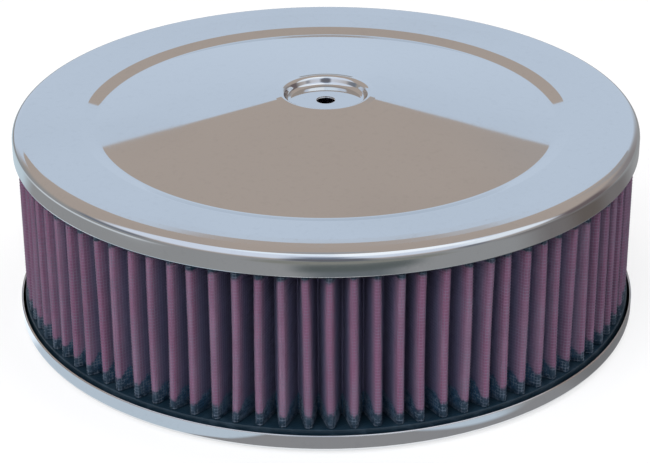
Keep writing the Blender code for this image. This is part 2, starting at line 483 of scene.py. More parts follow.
@dataclass(frozen=True)
class WireCloth(Finish):
    """A sheet that reads as woven wire: open between the strands."""

    name: str = "wire_cloth"
    colour: Colour = (0.30, 0.165, 0.25)
    dark_colour: Colour = (0.14, 0.08, 0.12)
    dark: Mottle = Mottle(130.0, 0.3, 0.7)
    dark_share: float = 0.4
    metallic: float = 0.25
    roughness: float = 0.5
    pitch: float = 1.8 * MM
    strand_share: float = 0.2
    strand_edge: float = 0.05
    strand_height: float = 0.15 * MM

    def paint(self, graph: Graph) -> None:
        """Adds the finish's nodes.

        Args:
            graph: The material's tree.
        """
        along, height, _ = graph.attribute("lay")
        strand = self._strand(along).larger(self._strand(height))
        dark = self.dark.mask(graph, graph.place()) * self.dark_share
        graph.principled({
            "Base Color": graph.mix(dark, self.colour, self.dark_colour),
            "Metallic": self.metallic,
            "Roughness": self.roughness,
            "Alpha": strand,
            "Normal": graph.bump(strand, self.strand_height),
        })

    def _strand(self, across: Signal) -> Signal:
        """The strands that cross one direction.

        Args:
            across: The place across the strands, in metres.

        Returns:
            1 on a strand and 0 between two.
        """
        wave = (across * (math.tau / self.pitch)).sine()
        edge = math.cos(math.pi * self.strand_share)
        return wave.rising(edge - self.strand_edge, edge + self.strand_edge)


@dataclass(frozen=True)
class MouldedCompound(Finish):
    """Dark satin moulding compound, cast round the ends of the pleats."""

    name: str = "moulded_ring"
    colour: Colour = (0.008, 0.022, 0.036)
    rubbed_colour: Colour = (0.02, 0.04, 0.06)
    rubs: Mottle = Mottle(120.0, 0.45, 0.7, 4.0, 0.6)
    roughness: float = 0.36
    rub_dulling: float = 0.2
    pits_per_metre: float = 900.0
    pit_depth: float = 0.25 * MM

    def paint(self, graph: Graph) -> None:
        """Adds the finish's nodes.

        Args:
            graph: The material's tree.
        """
        place = graph.place()
        rubbed = self.rubs.mask(graph, place)
        pitted = graph.noise(place, self.pits_per_metre, detail=3.0)
        graph.principled({
            "Base Color": graph.mix(rubbed, self.colour, self.rubbed_colour),
            "Roughness": rubbed * self.rub_dulling + self.roughness,
            "Normal": graph.bump(pitted, self.pit_depth),
        })


@dataclass(frozen=True)
class GasketRubber(Finish):
    """Matt black rubber with a fine cloth grain."""

    name: str = "gasket_rubber"
    colour: Colour = (0.018, 0.018, 0.019)
    dusty_colour: Colour = (0.045, 0.044, 0.042)
    dust: Mottle = Mottle(90.0, 0.5, 0.75, 4.0, 0.65)
    roughness: float = 0.78
    dust_dulling: float = 0.12
    grains_per_metre: float = 2600.0
    grain_height: float = 0.06 * MM

    def paint(self, graph: Graph) -> None:
        """Adds the finish's nodes.

        Args:
            graph: The material's tree.
        """
        place = graph.place()
        dust = self.dust.mask(graph, place)
        grain = graph.noise(place, self.grains_per_metre)
        graph.principled({
            "Base Color": graph.mix(dust, self.colour, self.dusty_colour),
            "Roughness": dust * self.dust_dulling + self.roughness,
            "Normal": graph.bump(grain, self.grain_height),
        })


@dataclass(frozen=True)
class PaleFloor(Finish):
    """The studio's pale floor, which cameras and shiny metal see as near white."""

    name: str = "pale_floor"
    colour: Colour = (0.95, 0.95, 0.955)
    lift: float = 0.65

    def paint(self, graph: Graph) -> None:
        """Adds the finish's nodes.

        Args:
            graph: The material's tree.
        """
        matt = graph.add("ShaderNodeBsdfDiffuse", None, {"Color": self.colour})
        glow = graph.add("ShaderNodeEmission", None, {"Color": (1.0, 1.0, 1.0), "Strength": 1.0})
        path = graph.add("ShaderNodeLightPath")
        seen = Signal(graph, path.outputs["Is Camera Ray"])
        for ray in ("Is Glossy Ray", "Is Transmission Ray"):
            seen = seen.larger(Signal(graph, path.outputs[ray]))
        shaders = {0: seen * self.lift, 1: matt.outputs[0], 2: glow.outputs[0]}
        floor = graph.add("ShaderNodeMixShader", None, shaders)
        graph.add("ShaderNodeOutputMaterial", None, {"Surface": floor.outputs[0]})


@dataclass(frozen=True)
class Zone:
    """One soft-edged patch of the surroundings, between two turns and two levels."""

    colour: Colour
    turns: Point
    levels: Point
    soft_turn: float = 5.0
    soft_level: float = 5.0

    def share(self, turn: Signal, level: Signal) -> Signal:
        """How much of the patch lies at a turn in degrees and a level in its own unit, from 0 to 1."""
        return turn.between(*self.turns, self.soft_turn) * level.between(*self.levels, self.soft_level)

    def over(self, graph: Graph, under: object, turn: Signal, level: Signal) -> bpy.types.NodeSocket:
        """Lays the patch over a colour."""
        return graph.mix(self.share(turn, level), under, self.colour)


@dataclass(frozen=True)
class GreyFlag(Finish):
    """A studio flag on the floor that only the chrome sees: it glows with painted reflections, though it is
    no lamp.

    Turns start at the camera's side, and levels are radii in metres. The darker patch near the part's front
    is a painted shadow of the part, with its point towards the camera and a lean to one side.
    """

    name: str = "grey_flag"
    grey: Colour = (0.33, 0.335, 0.34)
    shadow_wedge: Zone = Zone((0.30, 0.30, 0.31), (-30.0, 52.0), (0.0, 0.225), 6.0, 0.003)
    shadow_point: float = 221.0 * MM
    shadow_slope: float = 0.695
    shadow_lean: float = 0.075
    shadow_soft: float = 2.0 * MM
    zones: tuple[Zone, ...] = (
        Zone((0.57, 0.665, 0.76), (-190.0, 36.0), (0.0, 0.26), 5.0, 0.02),
        Zone((0.215, 0.215, 0.22), (44.0, 190.0), (0.0, 0.26), 6.0, 0.02),
        Zone((0.98, 1.08, 1.18), (-110.0, -70.0), (0.0, 0.24), 3.0, 0.02),
        Zone((0.57, 0.68, 0.75), (-170.0, -108.0), (0.26, 0.6), 6.0, 0.04),
        Zone((0.68, 0.72, 0.76), (-108.0, -52.0), (0.39, 0.62), 8.0, 0.022),
        Zone((0.165, 0.185, 0.20), (-5.0, 19.0), (0.26, 9.5), 6.0, 0.03),
        Zone((0.20, 0.185, 0.185), (60.0, 112.0), (0.26, 9.5), 9.0, 0.03),
        Zone((0.145, 0.125, 0.115), (76.0, 92.0), (0.26, 0.6), 6.0, 0.05),
        Zone((0.26, 0.263, 0.24), (-20.0, 34.0), (0.3915, 1.5), 6.0, 0.0015),
        Zone((0.112, 0.13, 0.13), (-8.0, 25.0), (0.3815, 0.3905), 5.0, 0.0015),
    )

    def paint(self, graph: Graph) -> None:
        """Adds the finish's nodes.

        Args:
            graph: The material's tree.
        """
        x, y, _ = graph.parts(graph.place())
        turn = x.math("ARCTAN2", x, -y) * math.degrees(1.0)
        radius = (x * x + y * y).root()
        colour = self.grey
        for zone in self.zones:
            colour = zone.over(graph, colour, turn, radius)
        # Painted shadow of the part: a darker patch near the part's front, which the chrome reflects.
        sides = x.math("ABSOLUTE", x) * self.shadow_slope - x * self.shadow_lean
        inside = (y + self.shadow_point - sides).rising(-self.shadow_soft, self.shadow_soft)
        colour = graph.mix(inside * self.shadow_wedge.share(turn, radius), colour, self.shadow_wedge.colour)
        # The flag glows with these painted reflections, which only glossy rays see.
        glow = graph.add("ShaderNodeEmission", None, {"Color": colour})
        graph.add("ShaderNodeOutputMaterial", None, {"Surface": glow.outputs[0]})


@dataclass(frozen=True)
class Room:
    """The room that the chrome reflects.

    Levels are degrees above the horizon. The turns of the far wall and the far zones start at the far
    side, and those of the window, the near zones and the dark zones start at the camera's side.
    """

    tan: Colour = (0.475, 0.405, 0.36)
    white: Colour = (1.0, 1.0, 1.0)
    far_wall: Zone = Zone((0.595, 0.69, 0.82), (-42.0, 25.0), (-90.0, 40.0), 8.0, 1.0)
    wall_top: float = 0.507
    wall_soft: float = 0.004
    ceiling_bow: float = 0.58
    ceiling_edge: float = 0.231
    ceiling_soft: float = 0.012
    lowest: float = 0.02
    window: Zone = Zone((0.77, 0.84, 0.97), (-86.0, 88.0), (17.0, 91.0), 6.0, 8.0)
    far_zones: tuple[Zone, ...] = (
        Zone((0.36, 0.385, 0.42), (-190.0, 190.0), (82.0, 95.0), 1.0, 5.0),
        Zone((0.335, 0.33, 0.32), (-100.0, 40.0), (-95.0, 8.0), 8.0, 12.0),
        Zone((0.37, 0.365, 0.375), (16.0, 40.0), (-95.0, 34.0), 6.0, 6.0),
        Zone((0.285, 0.262, 0.265), (36.0, 62.0), (-95.0, 24.0), 8.0, 8.0),
        Zone((0.17, 0.138, 0.142), (64.0, 97.0), (-95.0, 24.0), 8.0, 9.0),
    )
    near_zones: tuple[Zone, ...] = (
        Zone((0.93, 1.0, 1.08), (52.0, 87.0), (20.0, 50.0), 5.0, 6.0),
        Zone((1.14, 1.20, 1.27), (4.0, 72.0), (46.0, 92.0), 8.0, 7.0),
        Zone((0.97, 1.08, 1.20), (-55.0, 4.0), (59.0, 92.0), 8.0, 5.0),
        Zone((0.24, 0.275, 0.35), (-12.0, 9.0), (0.0, 44.0), 7.0, 7.0),
    )
    dark_zones: tuple[Zone, ...] = (
        Zone((0.31, 0.32, 0.33), (-95.0, 88.0), (-95.0, 8.0), 5.0, 10.0),
        Zone((0.16, 0.162, 0.185), (-14.0, 15.0), (-5.0, 24.0), 5.0, 6.0),
        Zone((0.20, 0.22, 0.26), (-94.0, -64.0), (-8.0, 15.0), 6.0, 6.0),
        Zone((0.205, 0.215, 0.245), (45.0, 57.0), (0.0, 17.0), 5.0, 5.0),
    )

    def paint(self, graph: Graph) -> None:
        """Adds the room's nodes.

        Args:
            graph: The world's tree.
        """
        x, y, z = graph.parts(graph.add("ShaderNodeTexCoord").outputs["Generated"])
        degrees = math.degrees(1.0)
        turn = x.math("ARCTAN2", x, y) * degrees
        back_turn = x.math("ARCTAN2", x, -y) * degrees
        level = z.math("ARCTAN2", z, (x * x + y * y).root()) * degrees
        colour = self.tan
        for zone in self.far_zones:
            colour = zone.over(graph, colour, turn, level)
        below = (y * self.wall_top - z).rising(-self.wall_soft, self.wall_soft)
        far = graph.mix(below * self.far_wall.share(turn, level), colour, self.far_wall.colour)
        colour = far
        for zone in (self.window, *self.near_zones, *self.dark_zones):
            colour = zone.over(graph, colour, back_turn, level)
        height = z.larger(self.lowest)
        across = x / height
        past_ceiling = across * across * self.ceiling_bow - self.ceiling_edge - y / height
        colour = graph.mix(past_ceiling.rising(-self.ceiling_soft, self.ceiling_soft), far, colour)
        path = graph.add("ShaderNodeLightPath")
        colour = graph.mix(Signal(graph, path.outputs["Is Camera Ray"]), colour, self.white)
        sky = graph.add("ShaderNodeBackground", None, {"Color": colour, "Strength": 1.0})
        graph.add("ShaderNodeOutputWorld", None, {"Surface": sky.outputs[0]})


@dataclass(frozen=True)
class Corner:
    """One corner of an outline, in the (radius, height) plane."""

    radius: float
    height: float
    fillet: float = 0.0
    points: int = 9


@dataclass(frozen=True)
class Outline:
    """A run of corners that is rounded, may be thickened into a sheet, and is turned about Z."""

    corners: tuple[Corner, ...]
    steps: int = 384
    support: float = 0.35 * MM
    least_cosine: float = 0.5
    edge_points: int = 5
    edge_bulge: float = 0.999

    def rounded(self) -> np.ndarray:
        """Rounds the corners.

        Returns:
            The points of the line, as rows of radius and height.
        """
        line = [(self.corners[0].radius, self.corners[0].height)]
        for before, corner, after in zip(self.corners, self.corners[1:], self.corners[2:]):
            line += self._bend(before, corner, after)
        line.append((self.corners[-1].radius, self.corners[-1].height))
        return np.array(line)

    @staticmethod
    def _bend(before: Corner, corner: Corner, after: Corner) -> list[Point]:
        """Rounds one corner.

        Args:
            before: The corner before it.
            corner: The corner to round.
            after: The corner after it.

        Returns:
            The points of the arc.
        """
        tip = complex(corner.radius, corner.height)
        back = complex(before.radius, before.height) - tip
        ahead = complex(after.radius, after.height) - tip
        back, ahead = back / abs(back), ahead / abs(ahead)
        half = abs(cmath.phase(ahead / back)) / 2
        middle = back + ahead
        centre = tip + middle / abs(middle) * corner.fillet / math.sin(half)
        start = tip + back * corner.fillet / math.tan(half) - centre
        end = tip + ahead * corner.fillet / math.tan(half) - centre
        step = cmath.phase(end / start) / (corner.points - 1)
        arc = [centre + cmath.rect(1.0, step * index) * start for index in range(corner.points)]
        return [(point.real, point.imag) for point in arc]

    def supported(self, line: np.ndarray) -> np.ndarray:
        """Adds a point near both ends of each long side, so that the flats shade flat.

        Args:
            line: The points of the line.

        Returns:
            The line with its support points.
        """
        points = [line[0]]
        for start, end in zip(line, line[1:]):
            length = np.linalg.norm(end - start)
            if length > 4 * self.support:
                step = (end - start) * (self.support / length)
                points += [start + step, end - step]
            points.append(end)
        return np.array(points)

    def sheet(self, thickness: float) -> np.ndarray:
        """Thickens the line towards its left into a sheet with rounded edges.

        Args:
            thickness: The sheet's thickness.

        Returns:
            The closed outline of the sheet.
        """
        seen = self.supported(self.rounded())
        sides = np.diff(seen, axis=0)
        lefts = np.stack([-sides[:, 1], sides[:, 0]], 1) / np.linalg.norm(sides, axis=1)[:, None]
        first = np.vstack([lefts[:1], lefts])
        last = np.vstack([lefts, lefts[-1:]])
        middle = first + last
        middle /= np.linalg.norm(middle, axis=1)[:, None]
        stretch = 1 / np.clip((middle * first).sum(1), self.least_cosine, 1.0)
        hidden = seen + middle * stretch[:, None] * thickness
        far_edge = self._edge(seen[-1], hidden[-1])
        near_edge = self._edge(hidden[0], seen[0])
        return np.vstack([seen, far_edge, hidden[::-1], near_edge])

    def _edge(self, start: np.ndarray, end: np.ndarray) -> np.ndarray:
        """The rounded edge of a sheet.

        Args:
            start: The last point of one face.
            end: The first point of the other face.

        Returns:
            The points between the two faces.
        """
        centre = (start + end) / 2
        arm = start - centre
        out = np.array([arm[1], -arm[0]])
        angles = np.pi * np.arange(1, self.edge_points + 1) / (self.edge_points + 1)
        return centre + np.cos(angles)[:, None] * arm + np.sin(angles)[:, None] * out * self.edge_bulge

    def turned(self, name: str, line: np.ndarray) -> bpy.types.Mesh:
        """Turns a closed outline about Z.

        Args:
            name: The mesh's name.
            line: The closed outline.

        Returns:
            The new mesh.
        """
        angles = np.arange(self.steps) * (math.tau / self.steps)
        x = line[:, 0] * np.cos(angles)[:, None]
        y = line[:, 0] * np.sin(angles)[:, None]
        z = np.broadcast_to(line[:, 1], x.shape)
        return grid_mesh(name, np.stack([x, y, z], -1), True, True)


def grid_mesh(name: str, grid: np.ndarray, close_rows: bool, close_columns: bool) -> bpy.types.Mesh:
    """A smooth mesh over a grid of points.

    Args:
        name: The mesh's name.
        grid: Points as an array of rows, columns and XYZ.
        close_rows: Whether the last row joins the first.
        close_columns: Whether the last column joins the first.

    Returns:
        The new mesh.
    """
    rows, columns = grid.shape[:2]
    index = np.arange(rows * columns).reshape(rows, columns)
    if close_rows:
        index = np.vstack([index, index[:1]])
    if close_columns:
        index = np.hstack([index, index[:, :1]])
    faces = np.stack([index[:-1, :-1], index[1:, :-1], index[1:, 1:], index[:-1, 1:]], -1).reshape(-1, 4)
    return face_mesh(name, grid.reshape(-1, 3), faces)


def face_mesh(name: str, points: np.ndarray, faces: np.ndarray) -> bpy.types.Mesh:
    """A smooth mesh of equal faces.

    Args:
        name: The mesh's name.
        points: The points as rows of XYZ.
        faces: The faces as rows of point numbers.

    Returns:
        The new mesh.
    """
    mesh = bpy.data.meshes.new(name)
    count, sides = faces.shape
    mesh.vertices.add(len(points))
    mesh.vertices.foreach_set("co", points.astype(np.float32).ravel())
    mesh.loops.add(count * sides)
    mesh.loops.foreach_set("vertex_index", faces.astype(np.int32).ravel())
    mesh.polygons.add(count)
    mesh.polygons.foreach_set("loop_start", np.arange(0, count * sides, sides, dtype=np.int32))
    mesh.polygons.foreach_set("use_smooth", np.ones(count, dtype=bool))
    mesh.update(calc_edges=True)
    mesh.validate()
    return mesh


class SubAssembly:
    """What every sub-assembly shares: a way to finish a piece and hand it to the frame."""

    def dress(self, mesh: bpy.types.Mesh, finish: Finish, slot: Slot, node: str) -> bpy.types.Object:
        """Makes a piece from a mesh.

        Args:
            mesh: Its mesh, in the frame's metres, which has the piece's name.
            finish: Its finish.
            slot: The record's slot that the finish comes from. It is not used.
            node: The CAD node that it stands for.

        Returns:
            The new piece.
        """
        mesh.materials.append(finish.material())
        piece = bpy.data.objects.new(mesh.name, mesh)
        bpy.context.scene.collection.objects.link(piece)
        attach(piece, BODY)
        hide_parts(node)
        LOG.info("%s: %d faces, %s", mesh.name, len(mesh.polygons), finish.name)
        return piece


@dataclass
class Lid(SubAssembly):
    """The chromed lid: skirt, shoulder, slightly crowned ring, step, shallow cone, hub lip and pocket."""

    chrome: Finish
    sheet: float = 0.9 * MM
    shoulder: float = 5.4 * MM
    shoulder_points: int = 25
    eave_radius: float = 171.6 * MM
    eave_fall: float = 0.33 * MM
    eave_bend: float = 42.0 * MM
    crown_start: float = 166.2 * MM
    crown_fall: float = 0.033 * MM
    crown_bend: float = 20.0 * MM
    crown_points: int = 5
    ring_height: float = 116.4 * MM
    ring_inner: float = 161.0 * MM
    ring_drop: float = 0.95 * MM
    step_radius: float = 138.9 * MM
    step_depth: float = 2.1 * MM
    step_run: float = 7.4 * MM
    step_fillet: float = 6.0 * MM
    bead_foot: float = 29.0 * MM
    bead_rise: float = 1.19 * MM
    bead_fillet: float = 2.0 * MM
    lip_height: float = 129.76 * MM
    lip_radius: float = 24.0 * MM
    lip_fillet: float = 2.4 * MM
    lip_points: int = 17
    pocket_floor: float = 124.3 * MM
    pocket_run: float = 2.1 * MM
    pocket_fillet: float = 2.6 * MM
    pocket_points: int = 13
    hole_radius: float = 5.25 * MM

    def build(self) -> bpy.types.Object:
        """Builds the lid.

        Returns:
            The lid, in place of its CAD node.
        """
        low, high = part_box("top_plate")
        eave = self.ring_height - self.crown_fall
        step_top = self.ring_height - self.ring_drop
        pocket_foot = self.lip_radius - self.pocket_run
        outline = Outline((
            Corner(high.x, low.z),
            Corner(high.x, eave - self.eave_fall, self.shoulder, self.shoulder_points),
            Corner(self.eave_radius, eave, self.eave_bend),
            Corner(self.crown_start, self.ring_height, self.crown_bend, self.crown_points),
            Corner(self.ring_inner, self.ring_height, self.crown_bend, self.crown_points),
            Corner(self.step_radius, step_top, self.step_fillet),
            Corner(self.step_radius - self.step_run, step_top - self.step_depth, self.step_fillet),
            Corner(self.bead_foot, self.lip_height - self.bead_rise, self.bead_fillet),
            Corner(self.lip_radius, self.lip_height, self.lip_fillet, self.lip_points),
            Corner(pocket_foot, self.pocket_floor, self.pocket_fillet, self.pocket_points),
            Corner(self.hole_radius, self.pocket_floor),
        ))
        mesh = outline.turned("lid", outline.sheet(self.sheet))
        return self.dress(mesh, self.chrome, Slot.CHROME, "top_plate")


@dataclass
class Base(SubAssembly):
    """The chromed base: upturned rim, flat floor, step, shallow pan and turned-down neck."""

    chrome: Finish
    rubber: Finish
    sheet: float = 0.9 * MM
    rim_corner: float = 5.3 * MM
    rim_points: int = 13
    floor_radius: float = 150.0 * MM
    step_height: float = 4.0 * MM
    step_run: float = 1.8 * MM
    fillet: float = 2.0 * MM
    land_height: float = 8.0 * MM
    land_radius: float = 80.0 * MM
    neck_radius: float = 66.0 * MM
    neck_depth: float = 6.0 * MM
    gasket_edge: float = 0.4 * MM

    def build(self) -> list[bpy.types.Object]:
        """Builds the base and its gasket.

        Returns:
            The two pieces, in place of their CAD nodes.
        """
        _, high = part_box("base_plate")
        outline = Outline((
            Corner(self.neck_radius, self.land_height - self.neck_depth),
            Corner(self.neck_radius, self.land_height, self.fillet),
            Corner(self.land_radius, self.land_height, self.fillet),
            Corner(self.floor_radius - self.step_run, self.step_height, self.fillet),
            Corner(self.floor_radius, 0.0, self.fillet),
            Corner(high.x, 0.0, self.rim_corner, self.rim_points),
            Corner(high.x, high.z),
        ))
        mesh = outline.turned("base", outline.sheet(self.sheet))
        base = self.dress(mesh, self.chrome, Slot.CHROME, "base_plate")
        return [base, self._gasket()]

    def _gasket(self) -> bpy.types.Object:
        """Builds the gasket under the land.

        Returns:
            The gasket.
        """
        low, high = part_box("neck_gasket")
        inner = self.neck_radius + self.fillet
        corners = [(inner, low.z), (high.x, low.z), (high.x, high.z), (inner, high.z)]
        mesh = ring_mesh("gasket", corners, self.gasket_edge)
        return self.dress(mesh, self.rubber, Slot.RUBBER, "neck_gasket")


def ring_mesh(name: str, corners: list[Point], edge: float, edge_points: int = 4) -> bpy.types.Mesh:
    """A solid ring with rounded edges.

    Args:
        name: The mesh's name.
        corners: The corners of the ring's section, from one on its underside, outwards first.
        edge: The radius of its edges.
        edge_points: The points of each edge.

    Returns:
        The new mesh.
    """
    (first, bottom), (second, _) = corners[0], corners[1]
    seam = Corner((first + second) / 2, bottom)
    rounded = [Corner(radius, height, edge, edge_points) for radius, height in corners[1:] + corners[:1]]
    outline = Outline((seam, *rounded, seam))
    return outline.turned(name, outline.supported(outline.rounded())[:-1])


@dataclass(frozen=True)
class Detail:
    """How many points a layer has on each outer fold, inside each leg and on each inner fold."""

    crest: int
    leg: int
    root: int


@dataclass
class PleatPath:
    """The line that the pleated layers follow round the element."""

    count: int = 90
    first_crest: float = math.radians(-1.5)
    tip_radius: float = 175.9 * MM
    depth: float = 18.0 * MM
    fold: float = 1.3 * MM
    stack: float = 1.1 * MM
    spacing_jitter: float = math.radians(0.16)
    depth_jitter: float = 0.35 * MM
    lean: float = math.radians(0.16)
    bow: float = math.radians(0.12)
    largest_shift: float = 2.0
    seed: int = 11
    shifts: np.ndarray = field(init=False)

    def __post_init__(self) -> None:
        """Draws each pleat's own place, depth, lean and bow."""
        draw = random.Random(self.seed)
        rows = [[draw.gauss(0.0, 1.0) for _ in range(6)] for _ in range(self.count)]
        self.shifts = np.clip(np.array(rows), -self.largest_shift, self.largest_shift)

    def centres(self, share: float) -> tuple[np.ndarray, np.ndarray]:
        """The middles of the crest and root folds at one height.

        Args:
            share: The height, from 0 at the foot to 1 at the head.

        Returns:
            The crest centres and the root centres, as complex numbers.
        """
        place, lean, bow, root_place, crest_depth, root_depth = self.shifts.T
        half = math.pi / self.count
        middle = self.first_crest + 2 * half * np.arange(self.count)
        swing = 2 * share - 1
        crest_angle = middle + place * self.spacing_jitter
        crest_angle = crest_angle + lean * self.lean * swing + bow * self.bow * (1 - swing ** 2)
        root_angle = middle + half + root_place * self.spacing_jitter
        crest_radius = self.tip_radius - self.stack - self.fold - abs(crest_depth) * self.depth_jitter
        root_radius = self.tip_radius - self.depth + self.stack + self.fold
        root_radius = root_radius + abs(root_depth) * self.depth_jitter
        return crest_radius * np.exp(1j * crest_angle), root_radius * np.exp(1j * root_angle)

    def line(self, share: float, offset: float, detail: Detail) -> np.ndarray:
        """The closed line of one layer at one height.

        Args:
            share: The height, from 0 at the foot to 1 at the head.
            offset: How far outside the middle layer the line runs.
            detail: How finely the folds and legs are divided.

        Returns:
            The points of the line, as rows of X and Y.
        """
        crest, root = self.centres(share)
        down = self._normal(root - crest, 1)
        up = self._normal(np.roll(crest, -1) - root, -1)
        crest_arc = self._arc(crest, (np.roll(up, 1), down), self.fold + offset, detail.crest)
        root_arc = self._arc(root, (-down, -up), self.fold - offset, detail.root)
        shares = (np.arange(detail.leg) + 1) / (detail.leg + 1)
        leg_down = self._leg(crest_arc[:, -1], root_arc[:, 0], shares)
        leg_up = self._leg(root_arc[:, -1], np.roll(crest_arc, -1, axis=0)[:, 0], shares)
        loop = np.concatenate([crest_arc, leg_down, root_arc, leg_up], axis=1).ravel()
        return np.stack([loop.real, loop.imag], -1)

    def _normal(self, across: np.ndarray, sign: int) -> np.ndarray:
        """The outward normal of the legs that touch two folds on opposite sides.

        Args:
            across: The steps from one fold's middle to the next one's.
            sign: 1 for a leg that runs inwards and -1 for one that runs outwards.

        Returns:
            The unit normals.
        """
        gap = 2 * self.fold
        straight = np.sqrt(abs(across) ** 2 - gap ** 2)
        along = across / abs(across) * np.exp(1j * sign * np.arctan2(gap, straight))
        return -1j * along

    @staticmethod
    def _arc(
        centre: np.ndarray, arms: tuple[np.ndarray, np.ndarray], radius: float, points: int
    ) -> np.ndarray:
        """The arcs of all the folds of one kind.

        Args:
            centre: The folds' middles.
            arms: The unit arms where the arcs start and where they end.
            radius: The arcs' radius.
            points: The points on each arc.

        Returns:
            One row of points for each fold.
        """
        start, end = arms
        turn = np.angle(end / start)
        shares = np.arange(points) / (points - 1)
        return centre[:, None] + radius * start[:, None] * np.exp(1j * turn[:, None] * shares)

    @staticmethod
    def _leg(start: np.ndarray, end: np.ndarray, shares: np.ndarray) -> np.ndarray:
        """The points at these shares of each straight leg, as one row for each leg."""
        return start[:, None] + (end - start)[:, None] * shares


@dataclass
class Element(SubAssembly):
    """The pleated element: gauze between two wire screens, cast into a dark ring at each end."""

    gauze: Finish
    wire: Finish
    cloth: Finish
    compound: Finish
    path: PleatPath = field(default_factory=PleatPath)
    end_gap: float = 0.3 * MM
    gauze_thickness: float = 1.3 * MM
    gauze_rows: int = 22
    gauze_detail: Detail = Detail(9, 3, 6)
    strip_detail: Detail = Detail(9, 1, 6)
    cloth_detail: Detail = Detail(4, 1, 4)
    screen_offset: float = 0.88 * MM
    wire_radius: float = 0.15 * MM
    wire_pitch: float = 1.8 * MM
    round_detail: Detail = Detail(6, 0, 4)
    uprights: int = 1740
    upright_bends: int = 5
    upright_sides: int = 3
    upright_sink: float = 0.21 * MM
    ring_overhang: float = 0.2 * MM
    foot_chamfer: float = 2.7 * MM
    foot_edge: float = 0.25 * MM
    head_chamfer: float = 3.7 * MM
    head_edge: float = 0.6 * MM
    bottom: float = field(init=False)
    top: float = field(init=False)

    def __post_init__(self) -> None:
        """Takes the height between the two rings from the frame."""
        low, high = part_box("outer_screen")
        self.bottom, self.top = low.z - self.end_gap, high.z + self.end_gap

    def build(self) -> list[bpy.types.Object]:
        """Builds the element's pieces, in place of their CAD nodes."""
        return [self._gauze(), self._inner_screen(), *self._rounds(), self._uprights(), *self._rings()]

    def _wall(self, name: str, offsets: tuple[float, ...], detail: Detail) -> bpy.types.Mesh:
        """A pleated wall from one or two face lines.

        Args:
            name: The mesh's name.
            offsets: The offset of each face, outer first.
            detail: How finely the folds and legs are divided.

        Returns:
            The new mesh, whose points carry their place along the cloth as "lay".
        """
        shares = np.linspace(0.0, 1.0, self.gauze_rows)
        faces = []
        lays = []
        for place, offset in enumerate(offsets):
            order = shares if place == 0 else shares[::-1]
            lines = np.array([self.path.line(share, offset, detail) for share in order])
            heights = self.bottom + order * (self.top - self.bottom)
            steps = np.linalg.norm(np.diff(lines, axis=1, prepend=lines[:, -1:]), axis=2)
            along = np.cumsum(steps, axis=1)
            z = np.broadcast_to(heights[:, None], along.shape)
            faces.append(np.concatenate([lines, z[..., None]], -1))
            lays.append(np.stack([along, z, np.zeros_like(along)], -1))
        grid = np.concatenate(faces)
        mesh = grid_mesh(name, grid[:, ::-1], len(offsets) > 1, True)
        lay = mesh.attributes.new("lay", "FLOAT_VECTOR", "POINT")
        lay.data.foreach_set("vector", np.concatenate(lays)[:, ::-1].astype(np.float32).ravel())
        return mesh

    def _gauze(self) -> bpy.types.Object:
        """Builds the folded gauze.

        Returns:
            The gauze.
        """
        half = self.gauze_thickness / 2
        mesh = self._wall("gauze", (half, -half), self.gauze_detail)
        piece = self.dress(mesh, self.gauze, Slot.GAUZE, "pleated_gauze")
        middle = self.path.line(0.5, 0.0, self.strip_detail)
        return piece

    def _inner_screen(self) -> bpy.types.Object:
        """Builds the screen on the inner side as a sheet of wire cloth."""
        mesh = self._wall("inner_screen_cloth", (-self.screen_offset,), self.cloth_detail)
        return self.dress(mesh, self.cloth, Slot.WIRE, "inner_screen")

    def _rounds(self) -> list[bpy.types.Object]:
        """Builds the outer screen's wires that run round the element.

        Returns:
            The lower and the upper half of the wires.
        """
        count = int((self.top - self.bottom) / self.wire_pitch)
        heights = self.bottom + (np.arange(count) + 0.5) * (self.top - self.bottom) / count
        halves = (("screen_rounds_low", heights[:count // 2]), ("screen_rounds_high", heights[count // 2:]))
        pieces = []
        for name, levels in halves:
            mesh = join_tubes(name, [self._round(height) for height in levels], True)
            pieces.append(self.dress(mesh, self.wire, Slot.WIRE, "outer_screen"))
        return pieces

    def _round(self, height: float) -> np.ndarray:
        """The points of one wire that runs round the element.

        Args:
            height: The wire's height.

        Returns:
            The tube's points, as rings of four points along it.
        """
        share = (height - self.bottom) / (self.top - self.bottom)
        rings = []
        for across, up in ((1, 0), (0, 1), (-1, 0), (0, -1)):
            offset = self.screen_offset + across * self.wire_radius
            line = self.path.line(share, offset, self.round_detail)
            z = np.full(len(line), height + up * self.wire_radius)
            rings.append(np.concatenate([line, z[:, None]], 1))
        return np.stack(rings, 1)

    def _uprights(self) -> bpy.types.Object:
        """Builds the outer screen's upright wires.

        Returns:
            The wires as one piece.
        """
        shares = np.linspace(0.0, 1.0, self.upright_bends)
        wires = []
        for share in shares:
            line = self.path.line(share, self.screen_offset - self.upright_sink, self.strip_detail)
            closed = np.vstack([line, line[:1]])
            along = np.concatenate([[0.0], np.cumsum(np.linalg.norm(np.diff(closed, axis=0), axis=1))])
            places = np.arange(self.uprights) * along[-1] / self.uprights
            wires.append(np.stack([np.interp(places, along, closed[:, axis]) for axis in (0, 1)], -1))
        wires = np.stack(wires, 1)
        heights = self.bottom + shares * (self.top - self.bottom)
        radial = wires[:, :1] / np.linalg.norm(wires[:, :1], axis=2, keepdims=True)
        side = np.stack([-radial[..., 1], radial[..., 0]], -1)
        rings = []
        for angle in np.arange(self.upright_sides) * math.tau / self.upright_sides:
            arm = (radial * math.cos(angle) + side * math.sin(angle)) * self.wire_radius
            z = np.broadcast_to(heights, wires.shape[:2])
            rings.append(np.concatenate([wires + arm, z[..., None]], -1))
        mesh = join_tubes("screen_uprights", list(np.stack(rings, 2)), False)
        return self.dress(mesh, self.wire, Slot.WIRE, "outer_screen")

